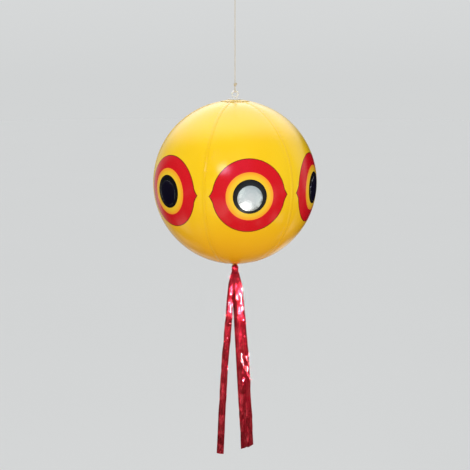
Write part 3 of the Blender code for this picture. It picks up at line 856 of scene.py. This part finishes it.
def make_cord(material):
    radius = 1.0 * MM
    line, length = twisted("laid_cord", [(0, 0, CORD_TOP), (0, 0, (CORD_TOP + CORD_BOTTOM) / 2), (0, 0, CORD_BOTTOM)], radius, 7.5 * MM)
    top_knot = wraps("upper_knot", -0.0648, -0.0552, 3.45 * MM, 1.0 * MM, 4.6, True,
                     tip=[(-0.2 * MM, -3.1 * MM, -0.0566), (2.6 * MM, -4.2 * MM, -0.0574), (4.6 * MM, -4.9 * MM, -0.0596)])
    low_knot = wraps("lower_knot", -0.2794, -0.2708, 3.2 * MM, 1.0 * MM, 3.9, False,
                     tip=[(3.0 * MM, 0.5 * MM, -0.2722), (4.4 * MM, 2.2 * MM, -0.2732), (5.0 * MM, 4.0 * MM, -0.2756)])

    foot = -0.0580
    centre, around = -13 * MM, 14 * MM
    half = [(-0.95 * MM, foot), (-1.05 * MM, foot + 3.2 * MM), (-2.1 * MM, foot + 8.5 * MM)]
    half += [(-6.6 * MM, foot + 21 * MM), (-11.8 * MM, foot + 33 * MM)]
    for a in (180, 150, 120):
        a = math.radians(a)
        half.append((around * math.cos(a), centre + around * math.sin(a)))
    route = [*half, (0, centre + around), *[(-x, z) for x, z in reversed(half)]]
    route = [(x, 0, z) for x, z in route]
    loop, loop_length = twisted("upper_loop", route, radius, 7.5 * MM, ends=0.4 * MM)

    bottom, rim, bend = -0.2796, HANG_RIM_Z, 3.95 * MM
    half = [(-0.95 * MM, bottom + 1.6 * MM), (-1.15 * MM, bottom - 0.6 * MM), (-2.0 * MM, bottom - 2.7 * MM), (-3.5 * MM, rim + 3.6 * MM)]
    for a in (180, 210, 240):
        a = math.radians(a)
        half.append((bend * math.cos(a), rim + bend * math.sin(a)))
    low_route = [*half, (0, rim - bend), *[(-y, z) for y, z in reversed(half)]]
    low_loop, _ = twisted("lower_loop", [(0, y, z) for y, z in low_route], radius, 7.5 * MM, ends=0.4 * MM)

    for obj, node, body in (
        (line, "cord", "cord"),
        (top_knot, "top_knot", "upper_knot"),
        (low_knot, "ring_knot", "lower_loop"),
        (loop, "hang_loop", "hanger"),
        (low_loop, "ring_loop", "lower_loop"),
    ):
        obj.data.materials.clear()
        obj.data.materials.append(material)
        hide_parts(node)
        if obj is line:
            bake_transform(obj)
        elif obj is loop:
            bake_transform(obj)
        else:
            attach(obj, body)
    path = smooth_path(route, 3 * MM)


# ---------------------------------------------------------------- the foil tails


def make_gather(material):
    """The foil's gathers: through the lower ring, down its front and back in sharp pleats, and into the knot."""
    rows = [
        (0.0, 4.9, 1.75, 0.10),
        (1.3, 4.95, 2.3, 0.20),
        (2.4, 4.5, 3.5, 0.30),
        (3.2, 3.3, 5.0, 0.40),
        (3.6, 1.6, 6.3, 0.45),
        (3.6, -0.4, 7.4, 0.50),
        (3.5, -2.4, 8.1, 0.50),
        (3.4, -4.2, 8.1, 0.45),
        (3.1, -6.0, 7.6, 0.35),
        (2.6, -8.0, 6.9, 0.25),
    ]
    pieces = []
    columns = 52
    for layer in range(3):
        full = [(-y, *rest) for y, *rest in reversed(rows)] + rows[1:]
        smooth = []
        for a, b in zip(full, full[1:]):
            for k in range(4):
                t = k / 4
                smooth.append(tuple(p + (q - p) * t for p, q in zip(a, b)))
        smooth.append(full[-1])
        verts, uvs = [], []
        run = 0.0
        for i, (y, z, wide, pleat) in enumerate(smooth):
            before, after = smooth[max(i - 1, 0)], smooth[min(i + 1, len(smooth) - 1)]
            along = Vector((after[0] - before[0], after[1] - before[1])).normalized()
            out = Vector((-along.y, along.x))
            run += 0.0 if i == 0 else math.hypot(y - before[0], z - before[1])
            # the layers stand apart where they fill the ring
            shift = (layer - 1) * (0.30 + 0.87 * min(1.0, max(0.0, (z - 2.0) / 2.9)))
            for j in range(columns):
                u = 2 * j / (columns - 1) - 1
                wave = 2 * abs(((u * (3.1 + 0.6 * layer) + 0.21 * layer + 0.02 * i) % 1.0) - 0.5) * 2 - 1
                wave += 0.35 * math.sin(9 * u + 2 * layer)
                lift = shift + pleat * wave - 0.5 * abs(u) ** 3
                narrow = wide * (1 - 0.10 * layer)
                verts.append((
                    narrow * u * MM,
                    (y + out.x * lift) * MM,
                    TAIL_RIM_Z + (z + out.y * lift) * MM,
                ))
                uvs.append((10 * u + 31 * layer, run + 13 * layer))
        pieces.append(mesh_object(f"pleats_{layer}", verts, grid_faces(len(smooth), columns), uvs))
    obj = joined("foil_gathers", pieces)
    obj.data.materials.append(material)
    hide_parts("tail_loop")
    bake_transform(obj)


def knot_band(name, rise, slant, wide, deep, height, seed):
    """One turn of gathered foil round the bundle: a bulging band with folds along it."""
    rows, columns = 112, 26
    verts, uvs = [], []
    for i in range(rows):
        a = 2 * math.pi * i / rows
        out = Vector((math.cos(a) / wide, math.sin(a) / deep)).normalized()
        tall = height * (1 + 0.10 * math.sin(2 * a + seed))
        middle = rise + slant * math.cos(a) + 0.25 * math.sin(3 * a + seed)
        for j in range(columns):
            w = 2 * j / (columns - 1) - 1
            bulge = 0.75 * (1 - abs(w) ** 2.4)
            fold = 2 * abs(((w * 1.7 + 0.12 * math.sin(2 * a + seed) + 0.3 * seed) % 1.0) - 0.5) * 2 - 1
            crease = noise.noise(Vector((6 * math.cos(a) + seed, 6 * math.sin(a), 1.5 * w)))
            push = bulge + 0.22 * fold + 0.24 * crease - 0.9 * max(0.0, abs(w) - 0.8) / 0.2
            verts.append((
                (wide * math.cos(a) + out.x * push) * MM,
                (deep * math.sin(a) + out.y * push) * MM,
                TAIL_KNOT_Z + (middle + 0.5 * tall * w) * MM,
            ))
            uvs.append((4.0 * w + 17 * seed, 38 * i / rows))
    faces = grid_faces(rows, columns)
    faces += [((rows - 1) * columns + j, (rows - 1) * columns + j + 1, j + 1, j) for j in range(columns - 1)]
    return mesh_object(name, verts, faces, uvs)


def make_tail_knot(material):
    """The pulled-tight knot: two slanting turns of gathered foil round the pleated bundle."""
    turns = [
        knot_band("knot_turn_1", 1.25, 0.85, 7.95, 3.90, 4.8, 1),
        knot_band("knot_turn_2", -1.45, -0.85, 7.80, 3.80, 4.8, 4),
    ]
    # the bundle inside the turns
    rows, columns = 24, 96
    verts, uvs = [], []
    for i in range(rows):
        z = 4.3 - 8.9 * i / (rows - 1)
        tight = 1 - 0.10 * math.cos(math.pi * z / 5)
        close = 1.0 if 0 < i < rows - 1 else 0.35
        for j in range(columns):
            a = 2 * math.pi * j / columns
            fold = 0.32 * (2 * abs(((a / (2 * math.pi) * 17 + 0.05 * z) % 1.0) - 0.5) * 2 - 1)
            x, y = (7.3 * tight + fold) * close, (3.4 * tight + fold) * close
            verts.append((x * math.cos(a) * MM, y * math.sin(a) * MM, TAIL_KNOT_Z + z * MM))
            uvs.append((30 * j / columns, z))
    turns.append(mesh_object("knot_core", verts, grid_faces(rows, columns, wrap=True), uvs))
    obj = joined("foil_knot", turns)
    obj.data.materials.append(material)
    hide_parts("tail_knot")
    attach(obj, "tail")


# name, layer, place across, lean, length, how far it bows out sideways and drifts forwards, its turn near the middle
# and at the end in degrees, the depth of its lengthwise curl, the slant of its cut end, seed
STREAMERS = (
    ("middle", -1, 0.0, -2.9, 502, -0.6, -5.0, -10.0, 13.0, 3.4, 1.4, 3),
    ("left", 0, -5.0, 4.0, 516, -3.0, 1.0, 14.0, -8.0, 3.2, -1.8, 11),
    ("right", 1, 5.0, -4.4, 504, 6.0, 4.5, 10.0, 18.0, 3.0, 2.2, 23),
)


def chance(seed, k):
    """An even number from 0 to 1, the same every run."""
    return (math.sin(seed * 12.9898 + k * 78.233) * 43758.5453) % 1.0


def folds_along(seed, full):
    """Where the strip was folded in its packing: place, change of slope and slant of each fold."""
    found, s, depth, slope, sign = [], 40.0 + 10 * chance(seed, 1), 0.0, 0.0, 1
    k = 2
    while s < full - 12:
        steep = sign * (0.015 + 0.045 * chance(seed, k)) - 0.012 * depth
        run = 24 + 40 * chance(seed, k + 50)
        found.append((s, steep - slope, 1.3 * (chance(seed, k + 90) - 0.5)))
        slope = steep
        depth += slope * run
        s += run
        sign = -sign
        k += 1
    return found


def make_streamer(name, layer, across, lean, length, bow, drift, turn_mid, turn_end, curl, cut, seed, material):
    """A strip of metal film. It leaves the knot in pleats, opens out, and hangs with its edges curled, a slow turn
    and the folds of its packing."""
    rows, columns = 300, 25
    width = 20.0
    hidden = 3.2  # what lies inside the knot
    full = length - 6.0
    folds = folds_along(seed, full)
    stops = [0.0, *[f[0] for f in folds], full + 1]
    verts, uvs = [], []
    slope = math.radians(lean)
    start = STREAMER_TOP / MM - 0.1
    for i in range(rows):
        s = -hidden + (full + hidden + 5.7) * i / (rows - 1)
        t = max(0.0, s / full)
        opened = min(1.0, max(0.0, s / 40.0))
        opened = opened * opened * (3 - 2 * opened)
        half = 0.5 * width * (0.54 + 0.46 * opened)
        pleats = (1 - opened) * 2.3
        side = (across * min(1.0, 0.6 + max(s, 0) / 12)) - math.sin(slope) * max(s, 0) + bow * math.sin(math.pi * min(t, 1))
        y = 1.6 * layer * min(1.0, 0.5 + max(s, 0) / 12) + drift * (t ** 0.8) * (1 + 0.15 * math.sin(6 * t + seed))
        y += 0.9 * math.sin(5.2 * t + seed) * opened
        z = start - math.cos(slope) * s
        turn = turn_mid * math.sin(math.pi * min(1.0, 1.15 * t)) + turn_end * t * t + 1.5 * math.sin(13 * t + seed)
        turn = math.radians(turn) * opened
        k = max(n for n in range(len(stops) - 1) if stops[n] <= max(s, 0))
        between = math.sin(math.pi * (max(s, 0) - stops[k]) / (stops[k + 1] - stops[k])) ** 2
        arch_here = curl * (0.45 + 0.55 * between)
        for j in range(columns):
            u = 2 * j / (columns - 1) - 1
            zig = 2 * abs(((u * 1.5 + 0.25) % 1.0) - 0.5) * 2 - 1
            lifted = 0.0
            for place, change, tilt in folds:
                past = s - place - tilt * 10 * u
                lifted += change * (past if past > 4 else (math.log1p(math.exp(past / 0.55)) * 0.55 if past > -6 else 0.0))
            crumple = 0.75 * noise.noise(Vector((u * 1.5 + seed, s / 34, seed * 0.37)))
            crumple += 0.12 * noise.noise(Vector((u * 3.4 + seed, s / 9, seed * 0.9)))
            ripple = 0.30 * math.sin(s / 9.0 + 2.0 * math.sin(s / 31 + seed)) * u * abs(u)
            arch = arch_here * (u * u - 0.33)
            deep = (arch + lifted + crumple + ripple) * opened + pleats * zig * 0.5
            dx = half * u * (1 - 0.035 * curl / 3)
            px = side + dx * math.cos(turn) - deep * math.sin(turn)
            py = y + dx * math.sin(turn) + deep * math.cos(turn)
            end = cut * u * max(0.0, t - 0.96) / 0.04
            verts.append((px * MM, py * MM, (z + math.sin(slope) * dx + end) * MM))
            uvs.append((10 * u + 37 * seed, s + 91 * seed))
    obj = mesh_object("foil_" + name, verts, grid_faces(rows, columns), uvs)
    obj.data.materials.append(material)
    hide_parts("streamer_" + name)
    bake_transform(obj)


# ---------------------------------------------------------------- stage and light


def area_light(name, place, aim, size, power, colour=(1, 1, 1), size_y=None):
    data = bpy.data.lights.new(name, "AREA")
    data.shape = "RECTANGLE" if size_y else "SQUARE"
    data.size = size
    if size_y:
        data.size_y = size_y
    data.energy = power
    data.color = colour
    light = link(bpy.data.objects.new(name, data))
    light.location = place
    light.rotation_euler = (Vector(aim) - Vector(place)).to_track_quat("-Z", "Y").to_euler()
    return light


def seen_from_camera(x, y, z):
    """A direction given to the right, up and towards the camera from the ball, in the row frame."""
    az, el = math.radians(VIEW_TURN), math.radians(VIEW_RISE)
    toward = Vector((math.sin(az) * math.cos(el), -math.cos(az) * math.cos(el), math.sin(el)))
    right = Vector((math.cos(az), math.sin(az), 0))
    return (x * right + y * toward.cross(right) + z * toward).normalized()


# What the gloss reflects, as soft patches: direction seen from the camera, the angles where a patch starts to fade
# and where it has gone, and its light.
PATCHES = (
    ((-0.05, 0.93, -0.36), 22, 57, (1.42, 1.42, 1.42)),  # wide soft light over and behind
    ((0.79, 0.42, -0.45), 10, 34, (0.42, 0.42, 0.42)),  # and to both sides
    ((-0.68, 0.42, -0.60), 8, 28, (0.16, 0.16, 0.16)),
    ((-0.29, 0.315, 0.904), 2, 9, (3.6, 3.5, 4.4)),  # lamp, up to the left
    ((-0.19, 0.295, 0.936), 2, 9, (1.8, 1.7, 2.6)),
    ((0.03, 0.39, 0.92), 8, 27, (0.05, 0.05, 0.22)),
    ((0.354, -0.29, 0.889), 12, 22, (0.34, 0.40, 0.42)),  # pale card behind the camera
    ((0.33, -0.38, 0.86), 6, 18, (0.25, 0.22, 0.21)),
    ((0.20, -0.56, 0.80), 3, 13, (0.75, 0.73, 0.70)),  # low lamp, which the foil shows
    ((0.17, -0.58, 0.80), 1, 5, (1.6, 1.6, 1.6)),
    ((-0.34, -0.55, 0.76), 4, 16, (0.50, 0.47, 0.44)),
    ((0.0, 0.10, -1.0), 20, 58, (0.36, 0.36, 0.33)),  # dim light behind
)
# Dark places: what the two side mirrors look into.
SHADES = (((-0.93, 0.33, -0.15), 20, 30), ((0.75, 0.64, -0.15), 20, 30))


def make_surroundings():
    """A wide dome that only reflections see, softly painted with light and dark."""
    bpy.ops.mesh.primitive_uv_sphere_add(segments=48, ring_count=24, radius=8.0, location=tuple(CENTRE))
    dome = bpy.context.object
    dome.name = "surroundings"
    t = Tree("surroundings")
    out = t.vector("NORMALIZE", t.place())
    split = t.node("SeparateXYZ")
    t.put(out, split.inputs[0])
    light = t.mix(t.smooth(split.outputs[2], -0.35, 0.10), (0.06, 0.065, 0.045), (0.07, 0.075, 0.07))
    # mottled light low down, all round
    low = t.math("MULTIPLY", t.smooth(split.outputs[2], -0.92, -0.60), t.math("SUBTRACT", 1.0, t.smooth(split.outputs[2], -0.12, 0.10)))
    mottle = t.smooth(t.noise(t.vector("MULTIPLY", out, (1.0, 1.0, 0.45)), 3.4, 2.0, 0.5), 0.50, 0.66)
    light = t.mix(t.math("MULTIPLY", low, mottle), light, (0.46, 0.47, 0.42), "ADD")
    for way, inner, outer, colour in PATCHES:
        lean = t.vector("DOT_PRODUCT", out, tuple(seen_from_camera(*way)))
        amount = t.smooth(lean, math.cos(math.radians(outer)), math.cos(math.radians(inner)))
        light = t.mix(amount, light, tuple(colour), "ADD")
    for way, inner, outer in SHADES:
        lean = t.vector("DOT_PRODUCT", out, tuple(Vector(way).normalized()))
        amount = t.smooth(lean, math.cos(math.radians(outer)), math.cos(math.radians(inner)))
        light = t.mix(amount, light, (0.004, 0.003, 0.010))
    glow = t.node("Emission")
    t.put(light, glow.inputs["Color"])
    glow.inputs["Strength"].default_value = 1.0
    t.tree.links.new(glow.outputs[0], t.tree.nodes["Material Output"].inputs["Surface"])
    t.tree.nodes.remove(t.shader)
    dome.data.materials.append(t.material)
    dome.visible_camera = dome.visible_diffuse = dome.visible_transmission = False
    dome.visible_volume_scatter = dome.visible_shadow = False


def make_stage():
    bpy.ops.mesh.primitive_circle_add(vertices=128, radius=60, fill_type="NGON", location=(0, 0, -3.9))
    floor = bpy.context.object
    floor.name = "floor"
    t = Tree("pale floor")
    grain = t.noise(t.place(), 0.4, 1.0)
    t.set(Base_Color=t.mix(grain, (0.770, 0.775, 0.770), (0.780, 0.785, 0.780)), Roughness=0.95)
    t.set(Specular_IOR_Level=0.1)
    floor.data.materials.append(t.material)
    floor.visible_glossy = False
    make_surroundings()

    world = bpy.data.worlds.new("studio")
    bpy.context.scene.world = world
    world.use_nodes = True
    nodes, links = world.node_tree.nodes, world.node_tree.links
    back = nodes["Background"]
    coordinates = nodes.new("ShaderNodeTexCoord")
    split = nodes.new("ShaderNodeSeparateXYZ")
    links.new(coordinates.outputs["Generated"], split.inputs[0])
    ramp = nodes.new("ShaderNodeValToRGB")
    links.new(split.outputs[2], ramp.inputs[0])
    ramp.color_ramp.elements[0].position = 0.0
    ramp.color_ramp.elements[0].color = (0.643, 0.656, 0.658, 1)
    ramp.color_ramp.elements[1].position = 0.9
    ramp.color_ramp.elements[1].color = (0.90, 0.91, 0.92, 1)
    links.new(ramp.outputs[0], back.inputs["Color"])
    back.inputs["Strength"].default_value = 1.0

    aim = tuple(CENTRE)
    key = CENTRE + 2.3 * seen_from_camera(-0.45, 0.55, 0.75)
    lamps = [
        area_light("overhead", (0.1, 0.5, 1.15), (0, 0, -0.6), 2.2, 7, (1.0, 0.99, 0.97)),
        area_light("key", tuple(key), aim, 0.55, 11, (1.0, 0.98, 0.95)),
        area_light("fill", tuple(CENTRE + 2.4 * seen_from_camera(0.30, -0.32, 0.90)), aim, 0.9, 16),
    ]
    for lamp in lamps:
        lamp.visible_glossy = False
    # the fill lights the object and not the floor; three lamps light only the foil: its back, and two glints
    lit, foils = bpy.data.collections.new("object"), bpy.data.collections.new("foil")
    for obj in bpy.data.objects:
        if obj.type == "MESH" and obj.name not in ("floor", "surroundings"):
            lit.objects.link(obj)
            if obj.name.startswith("foil_"):
                foils.objects.link(obj)
    lamps[2].light_linking.receiver_collection = lit
    behind = Vector((0, 0, -0.97)) + 2.4 * seen_from_camera(0.10, -0.22, -0.97)
    for name, place, at, size, power in (
        ("foil_behind", tuple(behind), (0.0, 0.0, -0.97), 1.6, 6.0),
        ("glint_upper", (0.225, -0.268, -0.932), (0.0, 0.0, -0.81), 0.025, 2.5),
        ("glint_lower", (0.359, -0.120, -1.130), (0.03, 0.0, -0.972), 0.025, 1.0),
    ):
        lamp = area_light(name, place, at, size, power)
        lamp.light_linking.receiver_collection = foils
        lamps.append(lamp)
    for lamp in lamps:
        lamp.visible_camera = False


def main():
    make_camera()
    fibre = cord_material()
    make_cord(fibre)
    vinyl = vinyl_material()
    mirror = mirror_material()
    for index, where in enumerate(GORES):
        make_gore(index, where, vinyl)
        make_pupil(index, where, mirror)
    patch = cap_material()
    make_cap("top_cap", 0.0, patch)
    make_cap("bottom_cap", math.pi, patch)
    moulded = moulded_material("moulded white vinyl", (0.70, 0.69, 0.64), (0.78, 0.77, 0.73))
    make_tab("hang_tab", HANG_RING, 0.0, moulded)
    make_tab("tail_tab", TAIL_RING, math.pi, moulded_material("moulded yellow vinyl", (0.74, 0.37, 0.006), (0.84, 0.46, 0.010)))
    make_valve(moulded_material("clear valve vinyl", (0.74, 0.71, 0.58), (0.80, 0.77, 0.67), 0.26, 0.4))
    foil = foil_material()
    make_gather(foil)
    make_tail_knot(foil)
    for settings in STREAMERS:
        make_streamer(*settings, foil)
    make_stage()
    bpy.context.scene.view_settings.view_transform = "Standard"


main()
